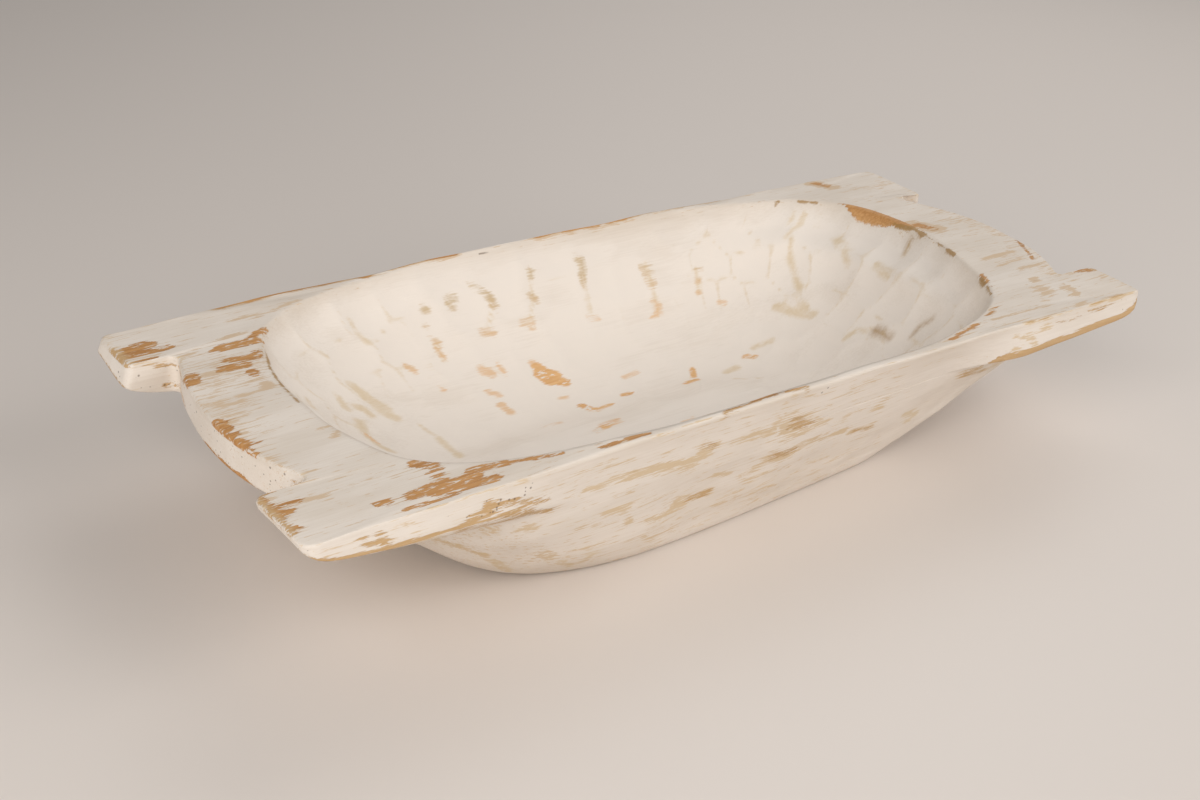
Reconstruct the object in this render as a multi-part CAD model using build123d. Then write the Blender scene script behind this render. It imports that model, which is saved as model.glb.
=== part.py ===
from build123d import *
import os

# An eared dough bowl carved from one block of wood, so the whole object is one solid.
# Millimetres, +X along the bowl to its right end, -Y to its near side, +Z up, origin on the floor under its middle.
# The bowl was cut by eye, so its base, its near side and its two lobes are a little uneven.

# Overall block
LENGTH = 680.0            # over the tips of the ears
WIDTH = 288.0             # over the two long rims, before their edges are worn round
HEIGHT = 114.0            # base to the middle of the long rims
DECK_DROP = 4.0           # how far the deck falls from the middle of the bowl to the ear tips

# Ears, notches and lobes at each end
EAR_WIDTH = 55.0          # across the bowl, from the rim to the notch
NOTCH_DEPTH = 30.0        # along the bowl, from the ear tip to the root of the notch
LEFT_SETBACK = 18.0       # the rounded lobe between the left ears stops this far short of their tips
RIGHT_SETBACK = 2.0       # and the one between the right ears, which is fuller
FLANGE_THICKNESS = 28.0   # end flange at the lobe and at the hull
EAR_TIP_THICKNESS = 9.0   # the ears are thinned from below to this at their tips
EAR_SLOPE = 58.0          # length of that thinning, along the bowl
CORNER_ROUND = 6.0        # ear corners and notch roots, seen from above

# Outside of the hull
BASE_LENGTH = 361.0       # flat base that the bowl stands on
BASE_OFFSET = 9.5         # the base stands this far left of the bowl's middle
NEAR_FOOT = 104.0         # from the middle line to the foot of the near side, halfway along
FAR_FOOT = 97.0           # from the middle line to the foot of the far side
NEAR_SKEW = 29.0          # the near foot's left end stands this much further out than its right end
HULL_END = 50.0           # from the ear tip to where the hull meets the flange underneath
HULL_OFFSET = 9.5         # up there the hull lies this far right of the bowl's middle
BASE_TRIM = 7.5           # wood that the hewn sides take off the rounder hull, at the base
FLANGE_TRIM = 21.5        # and under the flange
HULL_BULGE = 1.17         # how round the hull is from base to flange, where 1 is straight

# Hollow
RIM_WIDTH = 5.0           # top of the long sides
END_DECK = 72.0           # deck from the ear tip to the hollow
FLOOR_THICKNESS = 21.0    # wood under the hollow
SIDE_WALL = 58.5          # from the foot of the sides to the flat floor of the hollow
END_WALL = 55.5           # from the end of the base to the flat floor of the hollow

# Hull and hollow in plan
CORNER_SHARE = 0.64       # share of each half length and half width that the rounded corners take up

# Worn edges
BASE_ROUND = 4.0          # edge of the flat base
DECK_ROUND = 2.0          # outer edge of the deck
HOLLOW_ROUND = 1.5        # edge of the hollow

HALF_LENGTH = LENGTH / 2
HALF_WIDTH = WIDTH / 2
HALF_BASE_LENGTH = BASE_LENGTH / 2
HALF_BASE_WIDTH = (NEAR_FOOT + FAR_FOOT) / 2
EAR_INNER = HALF_WIDTH - EAR_WIDTH
FLANGE_BOTTOM = HEIGHT - FLANGE_THICKNESS
EAR_TIP_BOTTOM = HEIGHT - DECK_DROP - EAR_TIP_THICKNESS
OVERRUN = 10.0            # how far a cutting shape reaches past what it cuts


def flange_block():
    """The end flanges and rims as one slab: ears, notches and lobes in plan, over wide and high for trimming."""
    notch_root = HALF_LENGTH - NOTCH_DEPTH
    sawn_side = HALF_WIDTH + OVERRUN
    with BuildPart() as slab:
        with BuildSketch(Plane.XY.offset(FLANGE_BOTTOM)):
            with BuildLine():
                for end, setback in ((-1, LEFT_SETBACK), (1, RIGHT_SETBACK)):
                    ThreePointArc(
                        (end * notch_root, EAR_INNER),
                        (end * (HALF_LENGTH - setback), 0),
                        (end * notch_root, -EAR_INNER),
                    )
                for side in (1, -1):
                    Polyline(
                        (notch_root, side * EAR_INNER),
                        (HALF_LENGTH, side * EAR_INNER),
                        (HALF_LENGTH, side * sawn_side),
                        (-HALF_LENGTH, side * sawn_side),
                        (-HALF_LENGTH, side * EAR_INNER),
                        (-notch_root, side * EAR_INNER),
                    )
            make_face()
        extrude(amount=FLANGE_THICKNESS + OVERRUN)
        upright = slab.edges().filter_by(Axis.Z)
        fillet(upright.filter_by(lambda edge: abs(edge.center().Y) < HALF_WIDTH), CORNER_ROUND)
    return slab.part


def ear_undercut(end, side):
    """The wood taken from under one ear, a slope from the flange's underside up to the thin tip."""
    with BuildPart() as wedge:
        with BuildSketch(Plane.XZ.offset(-side * EAR_INNER)):
            with BuildLine():
                Polyline(
                    (end * (HALF_LENGTH - EAR_SLOPE), FLANGE_BOTTOM),
                    (end * HALF_LENGTH, EAR_TIP_BOTTOM),
                    (end * (HALF_LENGTH + OVERRUN), EAR_TIP_BOTTOM),
                    (end * (HALF_LENGTH + OVERRUN), FLANGE_BOTTOM - OVERRUN),
                    (end * (HALF_LENGTH - EAR_SLOPE), FLANGE_BOTTOM - OVERRUN),
                    close=True,
                )
            make_face()
        extrude(amount=-side * (EAR_WIDTH + OVERRUN))
    return wedge.part


def squarish_ring(height, half_length, half_width, middle=0.0):
    """A level plan curve: a rectangle whose corners are quarter ellipses."""
    round_x = CORNER_SHARE * half_length
    round_y = CORNER_SHARE * half_width
    with BuildSketch(Plane.XY.offset(height)) as ring:
        with BuildLine():
            for start, x, y in ((0, 1, 1), (90, -1, 1), (180, -1, -1), (270, 1, -1)):
                centre = (middle + x * (half_length - round_x), y * (half_width - round_y))
                EllipticalCenterArc(centre, round_x, round_y, start_angle=start, arc_size=90)
            for way in (1, -1):
                straight_x = half_length - round_x
                straight_y = half_width - round_y
                Line((middle - straight_x, way * half_width), (middle + straight_x, way * half_width))
                Line((middle + way * half_length, -straight_y), (middle + way * half_length, straight_y))
        make_face()
    return ring.sketch


def hull_block():
    """The boat-shaped hull under the deck, before its sides are hewn: it swells out as it rises."""
    side_at_flange = HALF_BASE_WIDTH + (HALF_WIDTH - HALF_BASE_WIDTH) * FLANGE_BOTTOM / HEIGHT
    base = (HALF_BASE_LENGTH, HALF_BASE_WIDTH + BASE_TRIM, -BASE_OFFSET)
    top = (HALF_LENGTH - HULL_END, side_at_flange + FLANGE_TRIM, HULL_OFFSET)
    rings = []
    for rise in (0, 1 / 3, 2 / 3, 1):
        swell = (1 - (1 - rise) ** HULL_BULGE) ** (1 / HULL_BULGE)
        sizes = [low + (high - low) * swell for low, high in zip(base, top)]
        rings.append(squarish_ring(FLANGE_BOTTOM * rise, *sizes))
    return loft(rings)


def hewn_sides():
    """The space between the two hewn sides, which lean out from their feet to the rims and on past them."""
    reach = HALF_LENGTH + OVERRUN
    rise = 1 + OVERRUN / HEIGHT
    sections = []
    for end in (-1, 1):
        near_foot = NEAR_FOOT - end * NEAR_SKEW * reach / BASE_LENGTH
        with BuildSketch(Plane.YZ.offset(end * reach)) as section:
            with BuildLine():
                Polyline(
                    (-near_foot, 0),
                    (FAR_FOOT, 0),
                    (FAR_FOOT + (HALF_WIDTH - FAR_FOOT) * rise, HEIGHT * rise),
                    (-near_foot - (HALF_WIDTH - near_foot) * rise, HEIGHT * rise),
                    close=True,
                )
            make_face()
        sections.append(section.sketch)
    return loft(sections, ruled=True)


def outer_ear_corners(block):
    """The edge where each ear's sawn end meets the hewn side."""
    ear_ends = block.faces().filter_by(Axis.X)
    return [max(face.edges(), key=lambda edge: abs(edge.center().Y)) for face in ear_ends]


def deck_crown():
    """The space under the deck, an arc that is highest at the middle of the bowl."""
    reach = HALF_LENGTH + OVERRUN
    edge = HEIGHT - DECK_DROP * (reach / HALF_LENGTH) ** 2
    with BuildPart() as under:
        with BuildSketch(Plane.XZ.offset(-HALF_WIDTH - OVERRUN)):
            with BuildLine():
                ThreePointArc((-reach, edge), (0, HEIGHT), (reach, edge))
                Polyline((reach, edge), (reach, -OVERRUN), (-reach, -OVERRUN), (-reach, edge))
            make_face()
        extrude(amount=WIDTH + 2 * OVERRUN)
    return under.part


def hollow():
    """The wood carved out for the dough: walls that sweep down as parabolas into a flat floor."""
    floor = (HALF_BASE_LENGTH - END_WALL, HALF_BASE_WIDTH - SIDE_WALL)
    mouth = (HALF_LENGTH - END_DECK, HALF_WIDTH - RIM_WIDTH)
    rings = []
    for sweep in (0, 0.3, 0.6, 0.85, 1.1):
        sizes = [low + (high - low) * sweep for low, high in zip(floor, mouth)]
        height = FLOOR_THICKNESS + (HEIGHT - FLOOR_THICKNESS) * sweep ** 2
        rings.append(squarish_ring(height, *sizes))
    return loft(rings)


def carved_bowl():
    """The block with its sides hewn, ears rounded and thinned, deck crowned, hollow carved and edges worn."""
    block = flange_block() + hull_block()
    block &= hewn_sides()
    block = fillet(outer_ear_corners(block), CORNER_ROUND)
    for end in (1, -1):
        for side in (1, -1):
            block -= ear_undercut(end, side)
    block &= deck_crown()
    block -= hollow()
    deck = block.faces().sort_by(Axis.Z)[-1]
    block = fillet(deck.inner_wires()[0].edges(), HOLLOW_ROUND)
    deck = block.faces().sort_by(Axis.Z)[-1]
    block = fillet(deck.outer_wire().edges(), DECK_ROUND)
    base = block.faces().sort_by(Axis.Z)[0]
    return fillet(base.edges(), BASE_ROUND)


os.makedirs("parts", exist_ok=True)
export_step(carved_bowl(), "parts/carved_bowl.step")
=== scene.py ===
import bpy
import numpy as np
from mathutils import Matrix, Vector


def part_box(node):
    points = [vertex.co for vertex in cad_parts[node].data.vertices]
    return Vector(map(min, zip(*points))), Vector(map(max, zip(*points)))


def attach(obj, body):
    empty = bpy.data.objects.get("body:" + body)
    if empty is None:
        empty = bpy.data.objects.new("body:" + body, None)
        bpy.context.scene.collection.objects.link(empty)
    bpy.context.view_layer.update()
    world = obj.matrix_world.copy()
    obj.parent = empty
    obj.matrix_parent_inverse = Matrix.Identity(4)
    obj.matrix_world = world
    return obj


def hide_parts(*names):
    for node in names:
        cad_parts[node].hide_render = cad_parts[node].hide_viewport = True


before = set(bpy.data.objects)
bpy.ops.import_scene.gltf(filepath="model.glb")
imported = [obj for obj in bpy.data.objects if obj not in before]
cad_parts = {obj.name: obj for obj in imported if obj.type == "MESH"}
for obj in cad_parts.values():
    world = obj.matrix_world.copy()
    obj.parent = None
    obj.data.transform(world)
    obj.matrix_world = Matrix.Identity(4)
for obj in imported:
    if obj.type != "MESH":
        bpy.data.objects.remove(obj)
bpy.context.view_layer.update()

# Carved bowl, its shape
# A dough bowl made from one log: hewn outside with an adze, hollowed inside with a gouge, nothing joined on.
# Each end has two square ears with a rounded lobe between them, and the long sides lean out to the rim.
# All sizes are in millimetres, in the frame's own axes, with the bowl standing on z = 0.

# The block's sizes come from the frame's box, with the rim out where it was before its edge wore round.
MM = 0.001
_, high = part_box("carved_bowl")
HEIGHT = high.z / MM
TIP = high.x / MM
RIM_WORN = 1.0
RIM = high.y / MM + RIM_WORN

# Each corner was cut by eye: how far its ear reaches past the tip line, the ear's width and how much wider
# it gets towards the tip, the notch's depth and its root's round, the lobe's setback, the lean of the ear's
# end, the ear's thickness at its inner and outer edge, and how it thickens: to the root size over the run,
# then by the taper.
LEFT, RIGHT, NEAR, FAR = -1, 1, -1, 1
CORNERS = {
    (LEFT, FAR): dict(reach=0.5, ear=50.0, flare=0.0, notch=34.0, round=6.0, setback=18.0, lean=4.0,
                      inner=16.0, outer=8.5, root=26.0, run=22.0, taper=0.04),
    (LEFT, NEAR): dict(reach=-3.5, ear=60.5, flare=0.0, notch=31.0, round=6.0, setback=18.0, lean=-2.0,
                       inner=7.0, outer=7.0, root=14.3, run=11.0, taper=0.05),
    (RIGHT, NEAR): dict(reach=7.0, ear=49.0, flare=0.0, notch=34.0, round=6.0, setback=-3.0, lean=0.0,
                        inner=8.0, outer=8.0, root=17.5, run=7.0, taper=0.075),
    (RIGHT, FAR): dict(reach=4.0, ear=58.0, flare=6.0, notch=22.0, round=11.0, setback=-3.0, lean=0.0,
                       inner=9.0, outer=9.0, root=18.0, run=10.0, taper=0.06),
}
TIP_ROUND, EAR_ROUND = 8.0, 5.0
ARC_POINTS, LOBE_POINTS = 9, 40

# A quarter's points are shared out over five stretches, which stop at the end of the straight rim, at the
# ear's outer and inner corner, in the notch and at the middle of the lobe. On the squarish ring the first
# two stop at shares of its length, and the others at shares of its width.
QUARTER_POINTS = 180
POINT_SHARES = (0.22, 0.27, 0.16, 0.12, 0.23)
STRAIGHT_RIM = 150.0
SQUARENESS = 3.5
LENGTH_STOPS = (0.0, 0.54, 0.80)
WIDTH_STOPS = (0.70, 0.655, 0.0)


def arc(centre_x, centre_y, radius, start, stop):
    """Points of an arc: the centre plus the radius times cosine and sine of evenly spaced degrees."""
    turn = np.radians(np.linspace(start, stop, ARC_POINTS))
    return np.stack([centre_x + radius * np.cos(turn), centre_y + radius * np.sin(turn)], 1)


def stretches(stops, counts):
    """Evenly spaced values from each stop up to the next, with the given count in each stretch."""
    runs = zip(stops, stops[1:], counts)
    return np.concatenate([np.linspace(a, b, n, endpoint=False) for a, b, n in runs])


def squarish(share):
    """The other coordinate on a squarish unit ring, where the powers of both coordinates add up to one."""
    return (1 - share ** SQUARENESS) ** (1 / SQUARENESS)


def quarter(end, side):
    """One quarter of the bowl's plan, from the middle of a long rim to the middle of an end.

    Columns 0 and 1 follow the outline: a straight rim, arcs round the ear's two corners and in the
    notch, and a lobe that swells as a parabola. Columns 2 and 3 follow a squarish unit ring in step
    with it, which the hull and the hollow are scaled from. Columns 4 and 5 name the quarter."""
    corner = CORNERS[end, side]
    tip = TIP + corner["reach"]
    root = tip - corner["notch"]
    inner = RIM - corner["ear"]
    y = np.linspace(inner - corner["round"], 0, LOBE_POINTS)
    lobe = root + (TIP - corner["setback"] - root) * (1 - (y / y[0]) ** 2)
    path = np.concatenate([
        [(0.0, RIM)],
        arc(tip - TIP_ROUND, RIM - TIP_ROUND, TIP_ROUND, 90, 0),
        arc(tip - EAR_ROUND, inner - corner["flare"] + EAR_ROUND, EAR_ROUND, 0, -90),
        arc(root + corner["round"], inner - corner["round"], corner["round"], 90, 180),
        np.stack([lobe, y], 1),
    ])
    run = np.append(0, np.cumsum(np.hypot(*np.diff(path, axis=0).T)))
    counts = [round(QUARTER_POINTS * share) for share in POINT_SHARES]
    counts[-1] = QUARTER_POINTS - sum(counts[:-1])
    arc_middles = run[1 + ARC_POINTS // 2 + ARC_POINTS * np.arange(3)]
    at = np.append(stretches([0.0, STRAIGHT_RIM, *arc_middles, run[-1]], counts), run[-1])
    along = stretches(LENGTH_STOPS, counts[:2])
    across = np.append(stretches([squarish(LENGTH_STOPS[-1]), *WIDTH_STOPS], counts[2:]), 0.0)
    unit_x = np.append(along, squarish(across))
    unit_y = np.append(squarish(along), across)
    outline = [np.interp(at, run, path[:, 0]) * end, np.interp(at, run, path[:, 1]) * side]
    named = [np.full(len(at), end), np.full(len(at), side)]
    return np.column_stack([*outline, unit_x * end, unit_y * side, *named])


ring = np.concatenate([
    quarter(LEFT, FAR)[:-1], quarter(LEFT, NEAR)[:0:-1],
    quarter(RIGHT, NEAR)[:-1], quarter(RIGHT, FAR)[:0:-1],
])
X, Y, U, V, END, SIDE = ring.T
AROUND = len(ring)


def by_end(left, right):
    """A size that differs between the two ends, chosen for each point round the bowl."""
    return np.where(END < 0, left, right)


def by_side(near, far):
    """A size that differs between the two sides, chosen for each point round the bowl."""
    return np.where(SIDE < 0, near, far)


def by_corner(size):
    """A size that differs between the four corners, chosen for each point round the bowl."""
    here = [(END == end) & (SIDE == side) for end, side in CORNERS]
    return np.select(here, [corner[size] for corner in CORNERS.values()])


def ease(share):
    """A smooth step: three squares less two cubes of the share, held between nought and one."""
    share = np.clip(share, 0, 1)
    return share * share * (3 - 2 * share)


def lesser(a, b, blend):
    """The smaller of two sizes, rounded over where they differ by less than the blend."""
    share = np.clip(0.5 + 0.5 * (b - a) / blend, 0, 1)
    return b + (a - b) * share - blend * share * (1 - share)


def wander(run, length, seed):
    """A slow waver, about one high: three seeded sine waves, each shorter and lower than the last."""
    phases = np.random.default_rng(seed).uniform(0, 2 * np.pi, 3)
    return sum(np.sin(2 * np.pi * run * k / length + p) / k for k, p in zip((1, 1.7, 2.9), phases))


def points(x, y, z):
    """Rows of points round the bowl, from their three coordinates."""
    return np.stack(np.broadcast_arrays(x, y, z), -1)


def between(a, b, count):
    """Rows spaced evenly between two rows, leaving those two out."""
    share = np.linspace(0, 1, count + 2)[1:-1, None, None]
    return a + (b - a) * share


NEARLY_HALF = 0.45


def rubbed_round(before, corner, after, radius, count):
    """A corner rubbed round: a quadratic curve that leaves one side and meets the other a radius away.

    A side too short for that gives up nearly half its length."""
    legs = [before - corner, after - corner]
    spans = [np.linalg.norm(leg, axis=-1, keepdims=True) for leg in legs]
    cuts = [np.minimum(radius, NEARLY_HALF * span) for span in spans]
    start, stop = [corner + leg / span * cut for leg, span, cut in zip(legs, spans, cuts)]
    share = np.linspace(0, 1, count)[:, None, None]
    return start * (1 - share) ** 2 + corner * 2 * share * (1 - share) + stop * share ** 2


# The hewn outside: a flat foot, a hull that bulges up to the flange's root, and edges that thin to the ears.
FOOT_X, FOOT_CURVE_Y, FOOT_SPINE = by_end(190.0, 171.0), 108.0, 120.0
FOOT_NEAR, FOOT_FAR, FOOT_SKEW = 104.0, 97.0, 0.08
ROOT_X, ROOT_CURVE_Y, ROOT_Z = by_end(275.0, 294.0), by_side(152.0, 155.0), 80.0
HULL_ROWS, HULL_BULGE, HULL_BLEND = 27, 1.17, 8.0
EDGE_THICK, EDGE_BLEND = 36.0, 6.0
LOBE_THICK, LOBE_START, LOBE_FADE = 23.0, 1.0, 8.0
LEAN_RUN = 12.0
DECK_DROP, DECK_WAVER, DECK_WAVE = 4.0, 0.5, 180.0
RIM_WAVER, RIM_WAVE = 0.5, 210.0
UPRIGHT_FROM, UPRIGHT_FADE = 150.0, 80.0


def deck_height(x, y):
    """The deck crowns along its length, dropping with the square of the distance, and wavers a little."""
    return HEIGHT - DECK_DROP * (x / TIP) ** 2 + DECK_WAVER * (wander(x + y, DECK_WAVE, seed=5) - 1)


def side_plane(x, z):
    """Half the width between the leaning sides: a straight line from the foot, cut askew, up to the rim."""
    foot_y = by_side(FOOT_NEAR - FOOT_SKEW * x, FOOT_FAR)
    return foot_y + (RIM + RIM_WAVER * wander(X, RIM_WAVE, seed=3) - foot_y) * z / HEIGHT


rise = np.linspace(0, 1, HULL_ROWS)[:, None]
swell = (1 - (1 - rise) ** HULL_BULGE) ** (1 / HULL_BULGE)
hull_x = (FOOT_X + (ROOT_X - FOOT_X) * swell) * U
hull_y = (FOOT_CURVE_Y + (ROOT_CURVE_Y - FOOT_CURVE_Y) * swell) * np.abs(V)
hull_z = ROOT_Z * rise
hull = points(hull_x, lesser(hull_y, side_plane(hull_x, hull_z), HULL_BLEND) * SIDE, hull_z)
ear_y = RIM - by_corner("ear")
inward = np.clip(TIP + by_corner("reach") - np.abs(X), 0, None)
across_ear = ease((np.abs(Y) - ear_y) / (RIM - ear_y))
ear_thick = by_corner("inner") + (by_corner("outer") - by_corner("inner")) * across_ear
root_share = 1 - np.exp(-inward / by_corner("run"))
edge_thick = ear_thick + (by_corner("root") - ear_thick) * root_share + by_corner("taper") * inward
edge_thick = lesser(edge_thick, EDGE_THICK, EDGE_BLEND)
on_lobe = ease((ear_y - by_corner("flare") + LOBE_START - np.abs(Y)) / LOBE_FADE)
edge_thick = np.maximum(edge_thick, LOBE_THICK * on_lobe)
top_x = X - END * by_corner("lean") * ease(1 - inward / LEAN_RUN)
top_z = deck_height(X, Y)
low_z = top_z - edge_thick
low_plane = np.minimum(np.abs(Y), side_plane(X, low_z))
low_y = low_plane + (np.abs(Y) - low_plane) * ease((np.abs(X) - UPRIGHT_FROM) / UPRIGHT_FADE)
low_edge = points(X, low_y * SIDE, low_z)
top_edge = points(top_x, np.minimum(np.abs(Y), side_plane(X, top_z)) * SIDE, top_z)

# The hollow: a squarish mouth, and walls that sweep down to a long floor as parabolas. The right end is cut
# further back on the far side, as a low ledge, and the left end a little less far near its corners.
MOUTH_X, MOUTH_Y = by_end(268.0, 263.0), by_side(136.2, 142.2)
FLOOR_X, FLOOR_Y, FLOOR_SPINE, DEPTH = 125.0, 42.0, 100.0, 93.0
WALL_ROWS = 36
LEDGE_DEPTH, LEDGE_FADE = 9.0, 17.0
RIGHT_SHIFT, RIGHT_SWING, SWING_Y, SWING_RUN = 6.0, 11.0, -25.0, 35.0
LEFT_FILL, FILL_Y, FILL_RUN = 4.0, 62.0, 28.0
SKEW_FROM, SKEW_FADE = 0.5, 0.35
mouth_y = MOUTH_Y * V
right_skew = RIGHT_SHIFT + RIGHT_SWING * np.tanh((mouth_y - SWING_Y) / SWING_RUN)
left_skew = -LEFT_FILL * np.exp(-((np.abs(mouth_y) - FILL_Y) / FILL_RUN) ** 2)
skew = by_end(left_skew, right_skew) * ease((np.abs(U) - SKEW_FROM) / SKEW_FADE)
sweep = np.linspace(1, 0, WALL_ROWS + 1)[1:, None]
sink = 1 - sweep ** 2
ledge = skew * (1 - ease((sink * DEPTH - LEDGE_DEPTH) / LEDGE_FADE))
mouth_x = MOUTH_X * U + skew * END
lip = points(mouth_x, mouth_y, deck_height(mouth_x, mouth_y))
wall = points(
    (FLOOR_X + (MOUTH_X - FLOOR_X) * sweep) * U + ledge * END,
    (FLOOR_Y + (MOUTH_Y - FLOOR_Y) * sweep) * V,
    lip[:, 2] * (1 - sink) + (HEIGHT - DEPTH) * sink,
)

# Every edge is rubbed round, which replaces the rows next to it. The bands follow one another from the
# middle of the foot, over the deck, to the middle of the hollow's floor. Both middles are straight spines.
SPINE_SPREAD = 0.15
FOOT_RADIUS, ROOT_RADIUS, LOW_RADIUS = 5.0, 10.0, 2.5
RIM_RADIUS, END_RADIUS, END_FROM = 3.5, 2.5, 250.0
top_radius = np.where(np.abs(X) < END_FROM, RIM_RADIUS, END_RADIUS)
lip_radius = by_end(3.5, 3.0)
along_spine = U * (1 - SPINE_SPREAD * np.abs(V))
foot_spine = points(FOOT_SPINE * along_spine, 0 * V, 0.0)
floor_spine = points(FLOOR_SPINE * along_spine, 0 * V, HEIGHT - DEPTH)
foot_round = rubbed_round(foot_spine, hull[0], hull[2], FOOT_RADIUS, count=4)
root_round = rubbed_round(hull[-4], hull[-1], low_edge, ROOT_RADIUS, count=5)
low_round = rubbed_round(hull[-1], low_edge, top_edge, LOW_RADIUS, count=5)
top_round = rubbed_round(low_edge, top_edge, lip, top_radius[:, None], count=6)
lip_round = rubbed_round(top_edge, lip, wall[2], lip_radius[:, None], count=5)
bands = {
    "foot_spine": foot_spine[None],
    "foot": between(foot_spine, foot_round[0], 5),
    "foot_round": foot_round,
    "hull": hull[3:-4],
    "root_round": root_round,
    "under": between(root_round[-1], low_round[0], 6),
    "low_round": low_round,
    "face": between(low_round[-1], top_round[0], 6),
    "top_round": top_round,
    "deck": between(top_round[-1], lip_round[0], 22),
    "lip_round": lip_round,
    "wall": wall[2:],
    "floor": between(wall[-1], floor_spine, 6),
    "floor_spine": floor_spine[None],
}
grid = np.concatenate(list(bands.values()))
stops = np.cumsum([0] + [len(band) for band in bands.values()])
rows = {name: slice(start, stop) for name, start, stop in zip(bands, stops, stops[1:])}


# Carved bowl, its tool marks
# Every cut of the adze and gouge left a shallow dish, with low ridges where neighbouring cuts meet.
# Cuts run down the walls of the hollow in columns, and along the outside in longer, flatter facets.
INSIDE = slice(rows["lip_round"].start, len(grid))
HEWN = slice(0, rows["under"].stop)
HOLLOW_CUTS = dict(
    rows=[2, 8, 13, 18, 24, 31], spacing=41.0, waver=5.0, seed=11, reach=(27.0, 28.0, 28.0), depth=3.1,
)
HULL_CUTS = dict(rows=[2, 9, 16], spacing=80.0, waver=9.0, seed=12, reach=(58.0, 30.0, 21.0), depth=1.5)
SCOOP = dict(middles=[(263.0, 62.0, 96.0), (270.0, 38.0, 98.0)], reach=(14.0, 27.0, 8.0), depth=4.5)
RIDGE_STANDS = 0.25
LIP_FADE, FOOT_FADE = 14.0, 12.0
END_DEEPER, END_CUTS_FROM, END_CUTS_FADE = 0.4, 110.0, 60.0


def cut_dishes(surface, middles, reach, depth, **_):
    """Depth of the nearest cut: full at its middle, less with the square of the distance, none at its reach.

    Beyond the reach the wood stands proud by up to a quarter of the depth. With the depth comes how much
    further off the next cut is, in reaches, which is nought on the ridge between the two."""
    nearest = np.full(surface.shape[:-1], np.inf)
    second = nearest
    for middle in middles:
        distance = (((surface - middle) / reach) ** 2).sum(-1)
        second = np.minimum(second, np.maximum(nearest, distance))
        nearest = np.minimum(nearest, distance)
    return depth * np.clip(1 - nearest, -RIDGE_STANDS, 1), np.sqrt(second) - np.sqrt(nearest)


def cut_middles(band, rows, spacing, waver, seed, **_):
    """Middles of cuts: evenly spaced points on the chosen rows round the bowl, plus a seeded random step."""
    run = np.append(0, np.cumsum(np.linalg.norm(np.diff(band[0], axis=0), axis=1)))
    columns = np.searchsorted(run, np.arange(0, run[-1], spacing))
    picked = band[rows][:, columns].reshape(-1, 3)
    return picked + np.random.default_rng(seed).normal(0, waver, picked.shape)


def surface_normals(surface):
    """Outward directions of length one: the cross product of the steps up the profile and round the bowl."""
    up = np.gradient(surface, axis=0)
    onward = (np.roll(surface, -1, axis=1) - np.roll(surface, 1, axis=1)) / 2
    normal = np.cross(onward, up)
    return normal / np.maximum(np.linalg.norm(normal, axis=-1, keepdims=True), 1e-9)


from_lip = np.linalg.norm(grid - lip, axis=-1)
from_low = np.linalg.norm(grid - low_edge, axis=-1)
marks = np.zeros(grid.shape[:2])
hollow_marks, from_ridge = cut_dishes(grid[INSIDE], cut_middles(wall, **HOLLOW_CUTS), **HOLLOW_CUTS)
scoop_marks, _ = cut_dishes(grid[INSIDE], **SCOOP)
deeper = 1 + END_DEEPER * ease((np.abs(grid[INSIDE][..., 0]) - END_CUTS_FROM) / END_CUTS_FADE)
hollow_marks *= ease(from_lip[INSIDE] / LIP_FADE) * deeper
marks[INSIDE] = np.maximum(hollow_marks, scoop_marks)
marks[HEWN], _ = cut_dishes(grid[HEWN], cut_middles(hull, **HULL_CUTS), **HULL_CUTS)
marks[HEWN] *= ease(from_low[HEWN] / LIP_FADE) * ease(grid[HEWN][..., 2] / FOOT_FADE)
marks[rows["floor_spine"]] = 0
carved = grid - surface_normals(grid) * marks[..., None]


# Carved bowl, where its paint is rubbed through
# The white paint was sanded back along the grain: to the wood on ridges, edges and ears, thin around them.
# Each stroke is one worn mark, placed as the photograph shows it: its start, its end and its half
# width. Its places are x and y seen from above, or x and z seen from the side.

# The deck, rubbed to the wood: ear tips, the left lobe, the corners of the hollow and the near rim.
DECK_BARE = [
    (-334, 114, -318, 116, 5.5), (-336, 107, -309, 106, 4.0), (-338, 98, -338, 122, 2.0),
    (-336, 97, -318, 96, 1.3), (-276, 88, -258, 87, 5.0), (-284, 88, -276, 88, 2.0),
    (-258, 90, -244, 99, 2.4), (-280, 70, -266, 67, 3.4), (-262, 73, -260, 72, 1.6),
    (-288, 60, -277, 59, 4.2), (-276, 49, -275, 44, 2.4), (-312, 61, -314, 53, 4.4),
    (-308, 64, -302, 64, 1.0), (-322, 1, -321, -9, 4.0), (-321, -15, -316, -16, 1.6),
    (-319, -24, -316, -30, 3.0), (-320, -31, -308, -31, 1.0), (-321, -12, -316, -42, 1.0),
    (-334, -83, -328, -82, 3.0), (-331, -99, -320, -100, 2.4), (-336, -105, -328, -107, 2.4),
    (-335, -86, -335, -128, 1.5), (-334, -122, -332, -125, 2.0), (-284, -125, -280, -126, 2.8),
    (-262, -127, -246, -124, 5.0), (-256, -131, -242, -134, 3.0), (-238, -128, -228, -127, 4.6),
    (-236, -135, -220, -136, 2.6), (-232, -132, -218, -135, 3.6), (-222, -121, -204, -124, 3.4),
    (-275, -137, -240, -138, 1.0), (-200, -125, -170, -132, 1.8), (-244, -98, -240, -103, 4.2),
    (-245, -111, -237, -111, 1.3), (-246, -116, -240, -116, 1.1), (-146, -139, -114, -139, 1.6),
    (-56, -140, -14, -138, 1.7), (-4, -140, 11, -141, 1.4), (150, -135, 180, -129, 1.5),
    (202, -120, 216, -114, 1.6), (249, -78, 256, -66, 1.5), (330, -96, 344, -100, 3.0),
    (338, -30, 317, -63, 1.2), (287, 30, 292, 18, 3.0), (276, 138, 282, 128, 2.2),
]
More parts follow.
